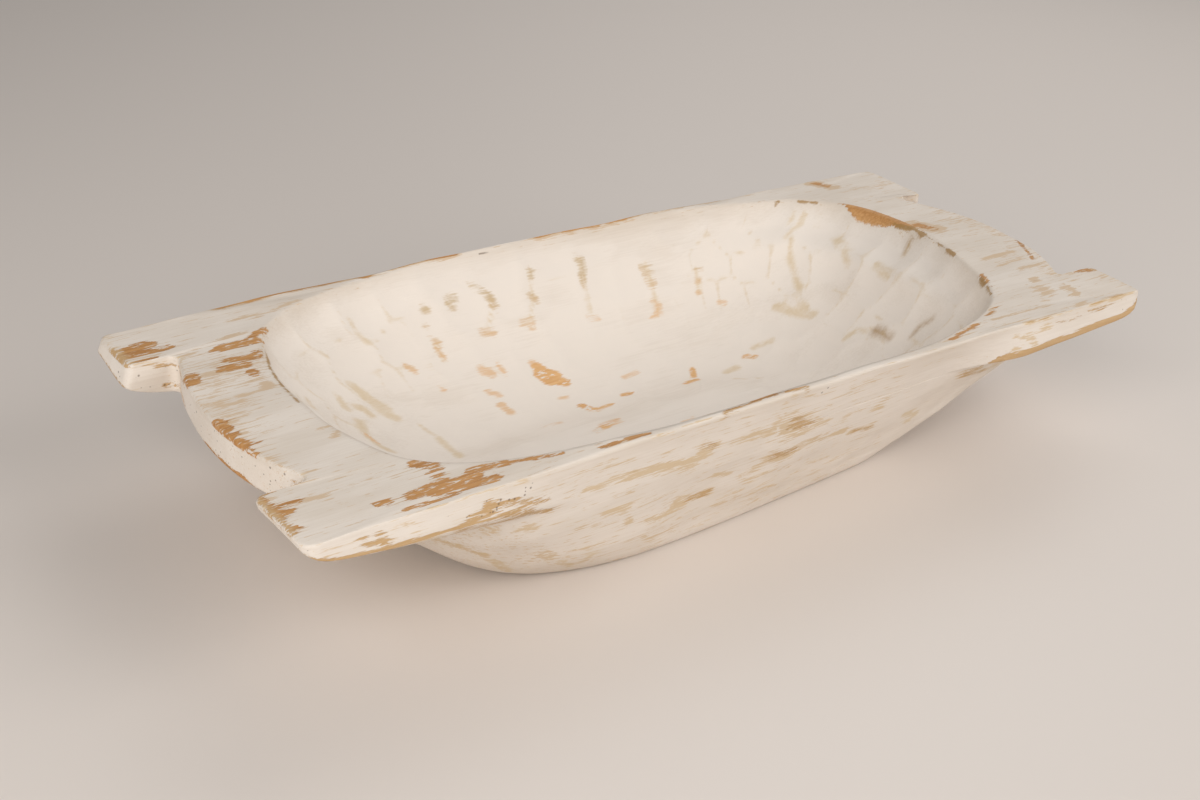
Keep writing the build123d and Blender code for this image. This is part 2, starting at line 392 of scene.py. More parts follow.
# The deck, rubbed thin: beside the bare patches, and in short streaks at the right end.
DECK_THIN = [
    (-300, 58, -290, 58, 4.0), (-276, 30, -275, 26, 3.0), (-272, 99, -258, 100, 2.0),
    (-272, -37, -267, -36, 1.5), (-270, -48, -266, -44, 2.0), (-318, -3, -312, -4, 2.5),
    (-318, -101, -306, -102, 2.0), (-240, 118, -205, 126, 1.5), (-256, 121, -240, 121, 1.5),
    (274, 140, 284, 125, 5.0), (285, 34, 294, 16, 6.5), (283, -46, 316, -46, 2.6),
    (280, -60, 312, -58, 1.4), (277, -104, 275, -114, 4.0), (286, -90, 284, -94, 3.0),
    (298, -110, 293, -126, 2.6), (203, -121, 214, -114, 2.4), (200, -128, 255, -129, 1.0),
    (275, -139, 285, -138, 2.0), (292, -72, 312, -73, 1.6),
]
# The near side, rubbed to the wood: under the left ear, and on facets that stand proud.
SIDE_BARE = [
    (-304, 104, -300, 101, 2.0), (-294, 104, -292, 98, 2.2), (-292, 96, -287, 94, 2.2),
    (-262, 89, -240, 85, 1.8), (-243, 91, -241, 87, 1.5), (-226, 103, -227, 95, 2.0),
    (-228, 92, -231, 88, 2.5), (-230, 87, -222, 84, 3.0), (-208, 92, -200, 88, 3.5),
    (-214, 84, -196, 84, 3.0), (-196, 84, -181, 81, 1.8), (12, 80, 30, 77, 2.4), (8, 87, 19, 84, 1.8),
    (8, 56, 24, 55, 3.2), (-58, 42, -44, 41, 2.6), (182, 74, 200, 72, 2.8), (184, 69, 205, 68, 2.2),
    (250, 104, 276, 104, 0.8), (284, 105, 318, 104, 0.7), (237, 81, 260, 81, 2.0),
    (268, 86, 286, 87, 3.5), (290, 89, 312, 90, 1.6), (88, 48, 101, 46, 2.0), (-66, 90, -57, 88, 2.6),
    (-236, 96, -214, 92, 2.6), (-224, 101, -206, 98, 2.0), (-250, 85, -226, 82, 2.4),
    (-206, 97, -188, 92, 2.2),
]
# The near side, rubbed thin in long streaks along the facets.
SIDE_THIN = [
    (-284, 93, -262, 90, 2.2), (-277, 105, -271, 103, 1.5), (-228, 80, -213, 75, 1.2),
    (-198, 69, -185, 67, 1.4), (-242, 63, -203, 40, 1.5), (-168, 35, -162, 30, 2.8),
    (-138, 31, -116, 29, 1.2), (-134, 61, -118, 58, 2.6), (-112, 47, -110, 42, 1.6),
    (-154, 87, -140, 86, 2.2), (-138, 90, -135, 88, 2.0), (-134, 88, -100, 84, 3.8),
    (-100, 84, -70, 79, 3.8), (-65, 90, -56, 88, 4.0), (-64, 84, -60, 80, 3.2), (-72, 75, -63, 72, 2.2),
    (-40, 85, -22, 82, 2.4), (-26, 86, -6, 82, 3.4), (-2, 89, 8, 85, 4.0), (8, 88, 20, 84, 5.4),
    (10, 80, 32, 77, 5.0), (20, 72, 40, 72, 3.2), (46, 75, 64, 69, 2.2), (4, 56, 28, 55, 5.0),
    (14, 50, 26, 49, 2.8), (30, 57, 72, 54, 3.2), (86, 48, 102, 46, 3.0), (85, 72, 100, 69, 3.2),
    (-16, 46, 4, 50, 2.2), (-12, 40, -4, 39, 2.2), (0, 41, 18, 41, 1.3), (-70, 43, -42, 41, 3.4),
    (-92, 37, -62, 36, 2.2), (-31, 25, -24, 25, 1.6), (-20, 18, -12, 20, 1.2), (-12, 24, 6, 23, 1.1),
    (6, 23, 26, 21, 1.1), (-90, 20, -82, 15, 2.2), (-80, 18, -62, 18, 1.2), (-45, 57, -28, 53, 1.4),
    (205, 70, 228, 70, 2.6), (212, 82, 222, 83, 3.2), (222, 80, 228, 74, 3.6), (206, 104, 220, 102, 1.5),
    (228, 102, 247, 104, 1.4), (225, 98, 231, 91, 2.0), (212, 92, 219, 89, 2.2), (180, 73, 206, 70, 4.4),
]
# The near side, stains that ran down the turn of the hull.
SIDE_STAIN = [
    (-200, 36, -172, 10, 1.6), (-152, 21, -140, 11, 1.8), (-131, 22, -126, 22, 1.8),
    (-132, 18, -136, 11, 1.6), (143, 44, 155, 42, 3.0), (148, 37, 150, 36, 3.0),
    (-242, 63, -203, 40, 1.6), (-90, 20, -82, 14, 2.0),
]
# The hollow, rubbed to the wood: a few patches on its floor.
HOLLOW_BARE = [
    (71, 40, 79, 38, 2.5), (81, 45, 87, 54, 2.0), (134, 48, 140, 44, 2.0), (-34, 86, -24, 78, 3.2),
    (-32, 77, -19, 72, 3.0), (-37, 82, -31, 78, 2.2), (-20, 50, -15, 42, 2.4), (-18, 40, -1, 41, 2.8),
    (-36, 9, -27, 11, 2.8), (-27, 14, -13, 15, 3.0), (18, 48, 22, 48, 2.4),
]
# The hollow, rubbed thin: short dashes, most of them in columns down the far wall.
HOLLOW_THIN = [
    (-109, 124, -106, 124, 1.6), (-112, 117, -109, 117, 0.9), (-108, 110, -104, 109, 1.4),
    (-107, 106, -104, 102, 1.6), (-88, 126, -81, 126, 1.4), (-88, 124, -84, 123, 1.4),
    (-67, 130, -58, 129, 0.8), (-58, 127, -52, 125, 1.2), (-53, 123, -49, 121, 1.4),
    (-54, 120, -51, 119, 1.0), (-67, 110, -58, 109, 1.8), (-15, 131, -11, 130, 1.0),
    (-16, 129, -13, 128, 0.8), (-20, 121, -15, 119, 1.6), (-33, 110, -24, 110, 1.3),
    (-28, 108, -26, 107, 1.2), (-79, 92, -72, 89, 2.6), (-64, 93, -62, 88, 1.4),
    (-82, 78, -74, 75, 1.8), (-77, 68, -74, 61, 2.2), (-36, 89, -32, 86, 2.0),
    (-136, 100, -130, 97, 1.2), (-116, 86, -114, 85, 1.0), (27, 132, 36, 131, 0.6),
    (29, 129, 35, 128, 0.7), (28, 126, 34, 125, 0.8), (28, 123, 32, 122, 0.9), (28, 120, 30, 120, 0.5),
    (24, 105, 33, 104, 1.2), (83, 122, 94, 120, 0.6), (85, 118, 94, 117, 0.9), (85, 115, 93, 114, 1.1),
    (86, 112, 90, 111, 1.2), (84, 104, 89, 102, 1.3), (84, 100, 89, 98, 1.2), (78, 97, 85, 96, 0.8),
    (131, 112, 138, 110, 0.8), (129, 107, 132, 106, 1.0), (127, 101, 129, 100, 1.0),
    (142, 91, 146, 89, 1.4), (30, 64, 42, 65, 1.6), (-62, 38, -49, 37, 1.8), (-30, 62, -25, 61, 1.4),
    (-193, 51, -189, 45, 1.4),
]
# The hollow, stains: along the cuts of the end walls, and faint ones that join the dashes of the far wall.
HOLLOW_STAIN = [
    (-184, 88, -179, 83, 2.5), (-177, 83, -167, 76, 3.2), (-171, 75, -161, 69, 2.2),
    (-187, 74, -180, 70, 2.0), (-199, 78, -197, 71, 1.4), (-229, 63, -227, 58, 1.2),
    (-193, 63, -194, 53, 2.0), (-195, 50, -183, 36, 1.8), (-168, 120, -166, 116, 1.0),
    (-167, 115, -159, 111, 0.9), (-146, 64, -140, 54, 0.8), (-139, 52, -134, 31, 1.6),
    (181, 69, 189, 58, 2.0), (190, 57, 197, 44, 2.2), (197, 59, 198, 53, 1.6), (225, 117, 222, 103, 0.9),
    (220, 102, 210, 90, 1.1), (209, 89, 203, 67, 1.2), (245, 78, 244, 68, 1.2), (244, 64, 246, 57, 1.0),
    (239, 61, 235, 49, 1.2), (243, 29, 241, 11, 1.6), (263, 19, 269, 15, 1.4), (147, 52, 161, 49, 1.8),
    (109, 40, 120, 41, 2.2), (195, 5, 201, 4, 1.8), (203, 4, 208, -6, 1.2), (183, -18, 191, -23, 1.4),
    (107, 27, 125, 18, 1.0), (230, 103, 232, 102, 1.2), (242, 96, 252, 87, 1.2), (-14, 131, -17, 120, 0.5),
    (-17, 120, -26, 110, 0.4), (31, 132, 31, 121, 0.4), (30, 120, 28, 106, 0.5), (89, 121, 89, 111, 0.7),
    (88, 110, 86, 98, 0.6), (132, 112, 128, 100, 0.6), (-52, 122, -62, 110, 0.5),
    (-107, 110, -105, 101, 0.6),
]
# The hollow, dark brown lines of painted shade and grime together: under the lip of both ends, and in the
# deepest cuts of the right end.
HOLLOW_SHADE_AND_DIRT = [
    (209, -10, 210, -17, 1.6), (209, -18, 210, -27, 1.0), (217, -42, 222, -41, 1.0),
    (223, -41, 228, -46, 0.8), (265, 20, 272, 16, 1.4), (274, 17, 276, 14, 1.2), (270, -18, 267, -29, 1.0),
    (252, -69, 246, -78, 1.1), (244, -82, 235, -94, 0.6), (218, 121, 220, 121, 1.2),
    (236, 114, 248, 105, 0.8), (-251, 79, -263, 51, 0.7), (-263, 51, -268, 22, 0.7),
    (-268, 22, -270, -3, 0.4), (274, 46, 279, 28, 1.3), (279, 28, 277, 12, 0.9), (277, 12, 271, -16, 0.2),
]

# Where each kind of stroke can lie, the depth far from any stroke, how the grain pulls a mark longer, and
# the greatest depth of each kind of mark on the deck, in the hollow and on the sides: wear, stain, and the
# dark lines of painted shade and grime.
DECK = slice(rows["top_round"].start, rows["lip_round"].stop)
FLANKS = slice(rows["foot_round"].start, rows["top_round"].stop)
END_WALL_X, FLANK_Y = 200.0, 60.0
FAR_OFF, GRAIN_PULL = -30.0, (0.6, 1.0)
CAPS = dict(bare=(6.0, 3.0, 0.6), thin=(1.6, 1.2, 0.8), stain=(1.0, 0.8, 0.6), shade_and_dirt=(1.0, 2.0, 1.0))
x, y, z = np.moveaxis(grid, -1, 0)


def stroke_depth(seen, strokes, cap):
    """How far inside the nearest stroke a point lies, up to the cap.

    It is the half width less the distance to the stroke's middle line. Distance along the grain counts for
    less, because rubbing feathers out that way."""
    depth = np.full(seen.shape[:-1], FAR_OFF)
    for x0, y0, x1, y1, half_width in strokes:
        start, run = np.array((x0, y0)), np.array((x1 - x0, y1 - y0))
        share = np.clip((seen - start) @ run / (run @ run), 0, 1)
        gap = (seen - start - share[..., None] * run) * GRAIN_PULL
        depth = np.maximum(depth, half_width - np.linalg.norm(gap, axis=-1))
    return np.minimum(depth, cap)


def spread_strokes(deck, hollow, side, caps):
    """Depth in the strokes all over the bowl: deepest of those on the deck, in the hollow and on the sides.

    The near wall and the far side, which the photograph hides, repeat the others turned end for end."""
    turned_wall = (y < 0) & (np.abs(x) < END_WALL_X)
    from_above = np.stack([x, y], -1)
    wall_seen = np.where(turned_wall[..., None], -from_above, from_above)
    side_seen = np.stack([np.where(SIDE > 0, -x, x), z], -1)
    depth = np.full(grid.shape[:2], FAR_OFF)
    zones = zip((DECK, INSIDE, FLANKS), (from_above, wall_seen, side_seen), (deck, hollow, side), caps)
    for zone, seen, strokes, cap in zones:
        here = stroke_depth(seen[zone], strokes, cap)
        if zone is FLANKS:
            here = np.where(np.abs(y[zone]) > FLANK_Y, here, FAR_OFF)
        depth[zone] = np.maximum(depth[zone], here)
    return depth


def span(along, start, stop, fade=12.0):
    """One between start and stop, easing to nought over the fade outside them."""
    return ease((along - start) / fade + 1) * ease((stop - along) / fade + 1)


bare = spread_strokes(DECK_BARE, HOLLOW_BARE, SIDE_BARE, CAPS["bare"])
thin = spread_strokes(DECK_THIN, HOLLOW_THIN, SIDE_THIN, CAPS["thin"])
stain = spread_strokes([], HOLLOW_STAIN, SIDE_STAIN, CAPS["stain"])
# The dark lines under the lips and in the deepest cuts are painted shade and grime together.
shade_and_dirt = spread_strokes([], HOLLOW_SHADE_AND_DIRT, [], CAPS["shade_and_dirt"])

# Between the strokes the paint is never whole: a base depth lets stray streaks through, most on the sides,
# which get cleaner to the right.
STRAY_SIDE, STRAY_DECK, STRAY_END, STRAY_ELSEWHERE = -1.55, -1.9, -2.3, -2.7
CLEANER_BY, CLEANER_FROM, CLEANER_FADE = 1.4, 60.0, 120.0
cleaner = ease((np.where(SIDE > 0, -x, x)[FLANKS] - CLEANER_FROM) / CLEANER_FADE)
stray = np.full(grid.shape[:2], STRAY_ELSEWHERE)
stray[FLANKS] = np.where(np.abs(y[FLANKS]) > FLANK_Y, STRAY_SIDE - CLEANER_BY * cleaner, STRAY_END)
stray[DECK] = STRAY_DECK
thin = np.maximum(thin, stray)

# Stain settled along the ridges between the cuts, high up on the walls of the hollow and most at its ends.
RIDGE_STAIN, RIDGE_CLEAN = 3.0, 3.1
RIDGE_WIDTH, RIDGE_LIP_FADE = 0.22, 25.0
SETTLED_Z, SETTLED_Z_FADE = 34.0, 20.0
SETTLED_BETWEEN, SETTLED_X, SETTLED_X_FADE = 0.5, 90.0, 60.0
ridge = (1 - ease(from_ridge / RIDGE_WIDTH)) * ease(from_lip[INSIDE] / RIDGE_LIP_FADE)
at_ends = ease((np.abs(x[INSIDE]) - SETTLED_X) / SETTLED_X_FADE)
high_up = ease((z[INSIDE] - SETTLED_Z) / SETTLED_Z_FADE)
settled = high_up * (SETTLED_BETWEEN + (1 - SETTLED_BETWEEN) * at_ends)
stain[INSIDE] = np.maximum(stain[INSIDE], RIDGE_STAIN * ridge * settled - RIDGE_CLEAN)

# Edges rubbed bare: the outer arrises of the rims, the lower arrises of the flanges and lobes, and the ledge
# under the lip at the right end, which tapers towards the near side. Each length is the width that it is
# rubbed to, its start and its end. A rub that is narrower than what is kept leaves the paint whole.
FAR_RIM = [(3.9, -255, -150), (3.3, -145, -75), (3.3, 0, 170)]
NEAR_RIM = [(2.2, 222, 245), (2.1, 292, 336)]
NEAR_LOW = [(2.6, -330, -220), (6.0, 200, 345)]
FAR_LOW = [(2.4, 225, 345)]
LEFT_LOBE, RIGHT_LOBE = [(2.6, -30, 14), (1.2, -75, 75)], 1.8
TOP_KEPT, LOW_KEPT, LEDGE_KEPT = 1.5, 0.6, 1.0
THIN_BESIDE, EDGE_SLACK = 1.2, 2.0
LEDGE_RUB, LEDGE_REACH = 8.0, 40.0
LEDGE_NEAR, LEDGE_NEAR_FADE = 12.0, 60.0
LEDGE_FAR, LEDGE_FAR_FADE = 98.0, 26.0


def rub_width(along, lengths):
    """How wide an edge is rubbed: the sum of its lengths' widths, each easing to nought past its ends."""
    return sum(width * span(along, start, stop) for width, start, stop in lengths)


on_ends = np.abs(Y) < ear_y + EDGE_SLACK
on_rims = np.abs(Y) > RIM - EDGE_SLACK
top_rub = np.where(on_rims, by_side(rub_width(x, NEAR_RIM), rub_width(x, FAR_RIM)), 0.0) - TOP_KEPT
lobe_rub = by_end(rub_width(Y, LEFT_LOBE), RIGHT_LOBE)
flange_rub = by_side(rub_width(X, NEAR_LOW), rub_width(np.abs(X), FAR_LOW))
low_rub = np.where(on_ends, lobe_rub, flange_rub) - LOW_KEPT
near_taper = ease((mouth_y - LEDGE_NEAR) / LEDGE_NEAR_FADE)
far_taper = ease((LEDGE_FAR - mouth_y) / LEDGE_FAR_FADE)
ledge_rub = LEDGE_RUB * near_taper * far_taper * (END > 0) - LEDGE_KEPT
from_rim = np.hypot(top_edge[:, 1] - y, top_edge[:, 2] - z)
thin = np.maximum(thin, top_rub + THIN_BESIDE - from_rim)
edge = np.maximum(top_rub - from_rim, low_rub - from_low)
under_lip = ledge_rub - (lip[:, 2] - z)
under_lip[:INSIDE.start] = FAR_OFF
edge = np.maximum(edge, np.where(from_lip < LEDGE_REACH, under_lip, FAR_OFF))

# How the finish differs over the bowl: the hollow is cleanest and its marks softest, the deck and above all
# the lip are most handled, and the long sides are between.
ZONE_FADE, HANDLED_LIP_FADE = 20.0, 10.0
HANDLED_SIDE, HANDLED_DECK, HANDLED_LIP = 0.35, 0.6, 0.85
SOFT_DECK, SOFTER_SIDE, SOFTER_HOLLOW = 0.35, 0.3, 2.5
inside = np.zeros(grid.shape[:2])
inside[INSIDE] = ease(from_lip[INSIDE] / ZONE_FADE)
beside = np.zeros(grid.shape[:2])
beside[FLANKS] = ease((np.abs(y[FLANKS]) - FLANK_Y) / ZONE_FADE)
handled = np.full(grid.shape[:2], HANDLED_SIDE)
handled[DECK] = HANDLED_DECK
handled[INSIDE] = HANDLED_LIP * (1 - ease(from_lip[INSIDE] / HANDLED_LIP_FADE))
softness = SOFT_DECK + SOFTER_SIDE * beside + SOFTER_HOLLOW * inside

# Paint came off the deck in firm patches, and in the hollow, where marks are soft, depth counts for more.
FIRM_DECK, FIRM_HOLLOW = 1.7, 1.7
bare[DECK] *= FIRM_DECK
for worn_field in (bare, thin, stain):
    worn_field *= 1 + FIRM_HOLLOW * inside

# The open pores of the wood show in the sawn ends, the ear tips and a short length of the near left rim, as
# dark dots of painted shade and grime.
PORED_TIP, PORED_SIDE = 325.0, (-255.0, -195.0)
on_pored_side = (SIDE < 0) & (X > PORED_SIDE[0]) & (X < PORED_SIDE[1])
pores = np.zeros(grid.shape[:2])
pores[rows["face"]] = on_ends | (np.abs(X) > PORED_TIP) | on_pored_side


# Carved bowl, its mesh
# The rows close round the bowl, and the first and last row each fold onto a straight spine.
# Its points keep the depths of wear, of stain and of painted shade, which the finish reads by name.
column = np.arange(AROUND)
fold = np.minimum(column, (AROUND // 2 - column) % AROUND)
index = np.arange(grid.shape[0] * AROUND).reshape(grid.shape[:2])
index[0] = index[0][fold]
index[-1] = index[-1][fold]
onward = np.roll(index, -1, axis=1)
quads = np.stack([index[:-1], index[1:], onward[1:], onward[:-1]], -1)[..., ::-1].reshape(-1, 4)
used, quads = np.unique(quads, return_inverse=True)
mesh = bpy.data.meshes.new("dough_bowl")
mesh.from_pydata((carved.reshape(-1, 3)[used] * MM).tolist(), [], quads.reshape(-1, 4).tolist())
mesh.polygons.foreach_set("use_smooth", np.ones(len(mesh.polygons), bool))
fields = dict(bare=bare, edge=edge, thin=thin, stain=stain, shade_and_dirt=shade_and_dirt, inside=inside, beside=beside,
              handled=handled, softness=softness, pores=pores)
for name, values in fields.items():
    attribute = mesh.attributes.new(name, "FLOAT", "POINT")
    attribute.data.foreach_set("value", values.ravel()[used].astype(np.float32))
mesh.update()
bowl = bpy.data.objects.new("dough_bowl", mesh)
bpy.context.scene.collection.objects.link(bowl)


# Carved bowl, its finish
# Pale wood under matt chalk paint, brushed on along the grain and sanded back while it was thin.
# The colours run from clean paint to handled paint, through thin paint and old stains, to the bare wood,
# with dark lines and dots of painted shade and grime over them.
def colour(code):
    """An sRGB hex code as linear red, green, blue and alpha, by the standard sRGB curve."""
    share = np.array([int(code[i:i + 2], 16) for i in (1, 3, 5)]) / 255
    linear = np.where(share <= 0.04045, share / 12.92, ((share + 0.055) / 1.055) ** 2.4)
    return (*linear.tolist(), 1.0)


def node(tree, kind, inputs=(), **settings):
    """Adds a shader node with its settings. Inputs are values, or sockets to link, by name or by place."""
    made = tree.nodes.new(kind)
    for name, value in settings.items():
        setattr(made, name, value)
    for key, value in dict(inputs).items():
        if isinstance(value, bpy.types.NodeSocket):
            tree.links.new(value, made.inputs[key])
        else:
            made.inputs[key].default_value = value
    return made


PAINT, HANDLED_PAINT = "#EADFD3", "#D9CBBB"
# The second and third colours are painted shade and grime together: the brown of the lines under the lips,
# and the dark of pores and worm holes.
STAINED, SHADE_AND_DIRT_BROWN, PORE_AND_HOLE_SHADE = "#CFB27E", "#A8834F", "#6E5A47"
THIN_DECK, THIN_SIDE, THIN_HIGH, THIN_LOW = "#D1B594", "#D6BC97", "#C6AC84", "#DFB98F"
WOOD = {"deck": "#CA975F", "side": "#CDAB80", "hollow": "#E3B884"}
GRAIN = {"deck": "#AD7843", "side": "#BF9A6C", "hollow": "#D5A067"}

# Chalk paint rubbed back on wood: matt and slightly uneven, with fine brush lines, a beige halo where it is
# thin, and orange-brown wood with long dark grain lines where it is gone. Lengths are in millimetres. Brush
# hairs leave lines about 0.3 mm apart, which are drawn 1.3 mm apart because they would be too fine to show.
finish = bpy.data.materials.new("rubbed_chalk_paint_on_pale_wood")
finish.use_nodes = True
tree = finish.node_tree
tree.nodes.clear()
place = node(tree, "ShaderNodeTexCoord").outputs["Object"]

# Each kind of streak is noise drawn out along the grain, and shifted so that no two kinds line up.
STREAKS = {
    "rub": dict(along=36.0, across=1.8, detail=4.0, roughness=0.62),
    "feather": dict(along=13.0, across=0.8, detail=3.0, roughness=0.6),
    "blotch": dict(along=20.0, across=8.0, detail=3.0, roughness=0.55),
    "fleck": dict(along=9.0, across=2.0, detail=3.0, roughness=0.6),
    "brush": dict(along=70.0, across=1.3, detail=4.0, roughness=0.65),
    "grain": dict(along=80.0, across=1.7, detail=4.0, roughness=0.65),
    "cloud": dict(along=90.0, across=30.0, detail=3.0, roughness=0.55),
}
SHIFT = (3.7, 1.3, 2.1)
field = {}
for number, (name, streak) in enumerate(STREAKS.items()):
    fine, coarse = 1 / (streak["across"] * MM), 1 / (streak["along"] * MM)
    stretched = node(tree, "ShaderNodeMapping", {
        "Vector": place, "Location": [step * number for step in SHIFT], "Scale": (coarse, fine, fine),
    })
    field[name] = node(tree, "ShaderNodeTexNoise", {
        "Vector": stretched.outputs["Vector"], "Scale": 1.0, "Detail": streak["detail"],
        "Roughness": streak["roughness"],
    }).outputs["Fac"]
for name in fields:
    field[name] = node(tree, "ShaderNodeAttribute", attribute_name=name).outputs["Fac"]

# Ragged outlines: each depth is shifted by the streaks, by so many millimetres about their middle value, and
# turns to a share over a width, which comes first and is multiplied by the surface's softness.
STREAK_MIDDLE = 0.5
RAGGED = {
    "bare": (0.8, dict(rub=9.0, feather=6.0, blotch=3.5, brush=3.0)),
    "edge": (0.7, dict(rub=5.0, feather=3.0, blotch=3.5)),
    "thin": (1.1, dict(rub=8.0, feather=7.0, blotch=4.0, brush=6.0, fleck=5.0)),
    "stain": (1.6, dict(rub=6.0, feather=5.0, blotch=9.0)),
    # The last outline is that of the dark lines of painted shade and grime.
    "shade_and_dirt": (1.0, dict(rub=2.0, feather=1.2, blotch=2.0)),
}
mask = {}
for name, (width, swings) in RAGGED.items():
    shifted = field[name]
    for streak, swing in swings.items():
        waver = node(tree, "ShaderNodeMath", {0: field[streak], 1: STREAK_MIDDLE}, operation="SUBTRACT")
        added = {0: waver.outputs[0], 1: swing, 2: shifted}
        shifted = node(tree, "ShaderNodeMath", added, operation="MULTIPLY_ADD").outputs[0]
    from_min = node(tree, "ShaderNodeMath", {0: field["softness"], 1: -width}, operation="MULTIPLY")
    from_max = node(tree, "ShaderNodeMath", {0: field["softness"], 1: width}, operation="MULTIPLY")
    mask[name] = node(tree, "ShaderNodeMapRange", {
        "Value": shifted, "From Min": from_min.outputs[0], "From Max": from_max.outputs[0],
    }, interpolation_type="SMOOTHSTEP").outputs["Result"]

# Shares: worn paint, the wood's dark grain, wood that shows between leftover flecks of paint, and open
# pores, whose dark is painted shade and grime.
SHARES = {"brush": (0.40, 0.74), "cloud": (0.40, 0.62), "grain": (0.36, 0.68), "fleck": (0.62, 0.55)}
WORN_PARTS, WORN_FROM = {"brush": 0.35, "cloud": 0.45}, 0.30
PORE_SPACING, PORE_SIZE, PORE_CORE, PORE_RIM = 4.5, 0.5, 0.7, 1.3
share = {}
for name, (start, stop) in SHARES.items():
    share[name] = node(tree, "ShaderNodeMapRange", {
        "Value": field[name], "From Min": start, "From Max": stop,
    }).outputs["Result"]
worn = field["handled"]
for name, part in WORN_PARTS.items():
    added = {0: share[name], 1: part, 2: worn}
    worn = node(tree, "ShaderNodeMath", added, operation="MULTIPLY_ADD").outputs[0]
worn = node(tree, "ShaderNodeMath", {0: worn, 1: WORN_FROM}, operation="SUBTRACT", use_clamp=True).outputs[0]
gone = node(tree, "ShaderNodeMath", {0: mask["bare"], 1: share["fleck"]}, operation="MULTIPLY").outputs[0]
gone = node(tree, "ShaderNodeMath", {0: gone, 1: mask["edge"]}, operation="MAXIMUM").outputs[0]
cells = node(tree, "ShaderNodeTexVoronoi", {"Vector": place, "Scale": 1 / (PORE_SPACING * MM)})
pore_and_hole_shade = node(tree, "ShaderNodeMapRange", {
    "Value": cells.outputs["Distance"], "From Min": PORE_RIM * PORE_SIZE / PORE_SPACING,
    "From Max": PORE_CORE * PORE_SIZE / PORE_SPACING,
}).outputs["Result"]
pore_and_hole_shade = node(tree, "ShaderNodeMath", {0: pore_and_hole_shade, 1: field["pores"]}, operation="MULTIPLY").outputs[0]

# Worm holes where they lie, about a millimetre across, and a short split under the far rim as a row of them,
# each a dark dot of painted shade and grime.
HOLES = [
    (-218.5, -143.6, 102.8), (-219.8, -143.7, 100.5), (-221.0, -143.7, 98.5), (-223.5, -143.8, 96.6),
    (-212.8, -143.5, 101.0), (-209.1, -143.4, 100.3), (-202.2, -143.2, 100.6), (-198.4, -143.3, 104.2),
    (25.0, -141.3, 105.9), (28.8, -142.3, 108.7), (-313.8, -54.5, 106.0), (-310.3, -65.2, 106.2),
    (-320.1, 31.0, 102.8), (-314.3, 94.0, 90.7), (-330.4, 94.0, 101.2), (-338.8, 105.7, 100.7),
    (40.0, 142.4, 109.0), *np.linspace((-53.2, 140.5, 110.8), (-43.0, 141.7, 110.0), 10).tolist(),
]
HOLE_SIZE, HOLE_CORE, HOLE_RIM = 0.6, 0.7, 1.6
for hole in HOLES:
    middle = [size * MM for size in hole]
    away = node(tree, "ShaderNodeVectorMath", {0: place, 1: middle}, operation="DISTANCE")
    dark = node(tree, "ShaderNodeMapRange", {
        "Value": away.outputs["Value"], "From Min": HOLE_RIM * HOLE_SIZE * MM,
        "From Max": HOLE_CORE * HOLE_SIZE * MM,
    }).outputs["Result"]
    pore_and_hole_shade = node(tree, "ShaderNodeMath", {0: pore_and_hole_shade, 1: dark}, operation="MAXIMUM").outputs[0]

# Layers of colour, each laid over the last by its share: paint, stains, thin paint, wood, then the dark
# lines and the dark pores and holes, which are painted shade and grime together.
# A Mix node takes its share at place 0 and its colours at 6 and 7, and gives the mixed colour at 2.
SHARE, UNDER, OVER, MIXED = 0, 6, 7, 2
WALL_LOW, WALL_HIGH = 50, 85
height = node(tree, "ShaderNodeSeparateXYZ", {0: place}).outputs["Z"]
up_wall = node(tree, "ShaderNodeMapRange", {
    "Value": height, "From Min": WALL_LOW * MM, "From Max": WALL_HIGH * MM,
}).outputs["Result"]
thin_hollow = node(tree, "ShaderNodeMix", {
    SHARE: up_wall, UNDER: colour(THIN_LOW), OVER: colour(THIN_HIGH),
}, data_type="RGBA").outputs[MIXED]
TINTS = {
    "thin": (colour(THIN_DECK), colour(THIN_SIDE), thin_hollow),
    "wood": [colour(code) for code in WOOD.values()],
    "grain": [colour(code) for code in GRAIN.values()],
}
zoned = {}
for name, (deck, side, hollow) in TINTS.items():
    outer = node(tree, "ShaderNodeMix", {
        SHARE: field["beside"], UNDER: deck, OVER: side,
    }, data_type="RGBA").outputs[MIXED]
    zoned[name] = node(tree, "ShaderNodeMix", {
        SHARE: field["inside"], UNDER: outer, OVER: hollow,
    }, data_type="RGBA").outputs[MIXED]
wood = node(tree, "ShaderNodeMix", {
    SHARE: share["grain"], UNDER: zoned["wood"], OVER: zoned["grain"],
}, data_type="RGBA").outputs[MIXED]
surface = node(tree, "ShaderNodeMix", {
    SHARE: worn, UNDER: colour(PAINT), OVER: colour(HANDLED_PAINT),
}, data_type="RGBA").outputs[MIXED]
LAYERS = (
    dict(shown=mask["stain"], cover=0.55, tint=colour(STAINED)),
    dict(shown=mask["thin"], cover=0.85, tint=zoned["thin"]),
    dict(shown=gone, cover=1.0, tint=wood),
    # The last two layers are painted shade and grime together: the dark lines under the lips, then the pores
    # and worm holes.
    dict(shown=mask["shade_and_dirt"], cover=0.85, tint=colour(SHADE_AND_DIRT_BROWN)),
    dict(shown=pore_and_hole_shade, cover=0.7, tint=colour(PORE_AND_HOLE_SHADE)),
)
for layer in LAYERS:
    laid = node(tree, "ShaderNodeMath", {0: layer["shown"], 1: layer["cover"]}, operation="MULTIPLY")
    surface = node(tree, "ShaderNodeMix", {
        SHARE: laid.outputs[0], UNDER: surface, OVER: layer["tint"],
    }, data_type="RGBA").outputs[MIXED]

